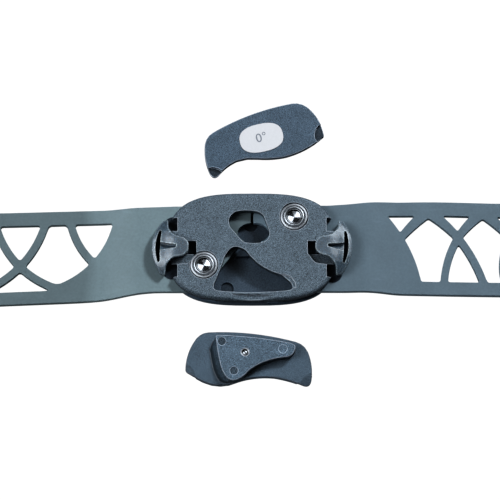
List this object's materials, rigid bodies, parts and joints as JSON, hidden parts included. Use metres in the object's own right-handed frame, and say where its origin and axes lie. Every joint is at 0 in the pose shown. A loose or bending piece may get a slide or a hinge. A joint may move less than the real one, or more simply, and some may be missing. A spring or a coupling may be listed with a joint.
{
  "type": "knee brace hinge with side bars",
  "caption": "Hinge of a knee brace: an oval housing with stop windows and sliding latches between pierced side bars that swing on rivets, with loose motion stops lying beside it.",
  "frame": {"origin": "centre of the hinge housing on the flat back of its back plate", "axes": "+X along the straight bars to the right, +Y away from the side to which the bars swing, +Z out of the hinge's face"},
  "size_m": [0.28, 0.0987, 0.0105],
  "materials": {
    "bars": "satin blue-grey coating on aluminium",
    "front_plate": "speckled glass-filled nylon",
    "back_plate": "dark glass-filled nylon",
    "latches": "speckled glass-filled nylon, a little shiny",
    "stops": "fine-grained blue-grey nylon",
    "steel": "turned and polished",
    "label": "white printed oval, left bare"
  },
  "bodies": {
    "hinge": {"back_plate": "back_plate", "front_plate": "front_plate", "left_rivet": "steel", "right_rivet": "steel", "upper_stop": "stops", "stop_label": "label", "lower_stop": "stops", "stop_insert": "steel"},
    "left_arm": {"left_bar": "bars"},
    "right_arm": {"right_bar": "bars"},
    "left_slider": {"left_latch": "latches"},
    "right_slider": {"right_latch": "latches"}
  },
  "joints": [
    {"name": "left_flex", "type": "hinge", "parent": "hinge", "child": "left_arm", "pos_m": [-0.0163, -0.0062, 0.00385], "axis": [0, 0, 1], "range_deg": [0, 60]},
    {"name": "right_flex", "type": "hinge", "parent": "hinge", "child": "right_arm", "pos_m": [0.0143, 0.0108, 0.00385], "axis": [0, 0, -1], "range_deg": [0, 45]},
    {"name": "left_lock", "type": "slide", "parent": "hinge", "child": "left_slider", "axis": [1, 0, 0], "range_m": [0, 0.0024]},
    {"name": "right_lock", "type": "slide", "parent": "hinge", "child": "right_slider", "axis": [-1, 0, 0], "range_m": [0, 0.0024]}
  ]
}
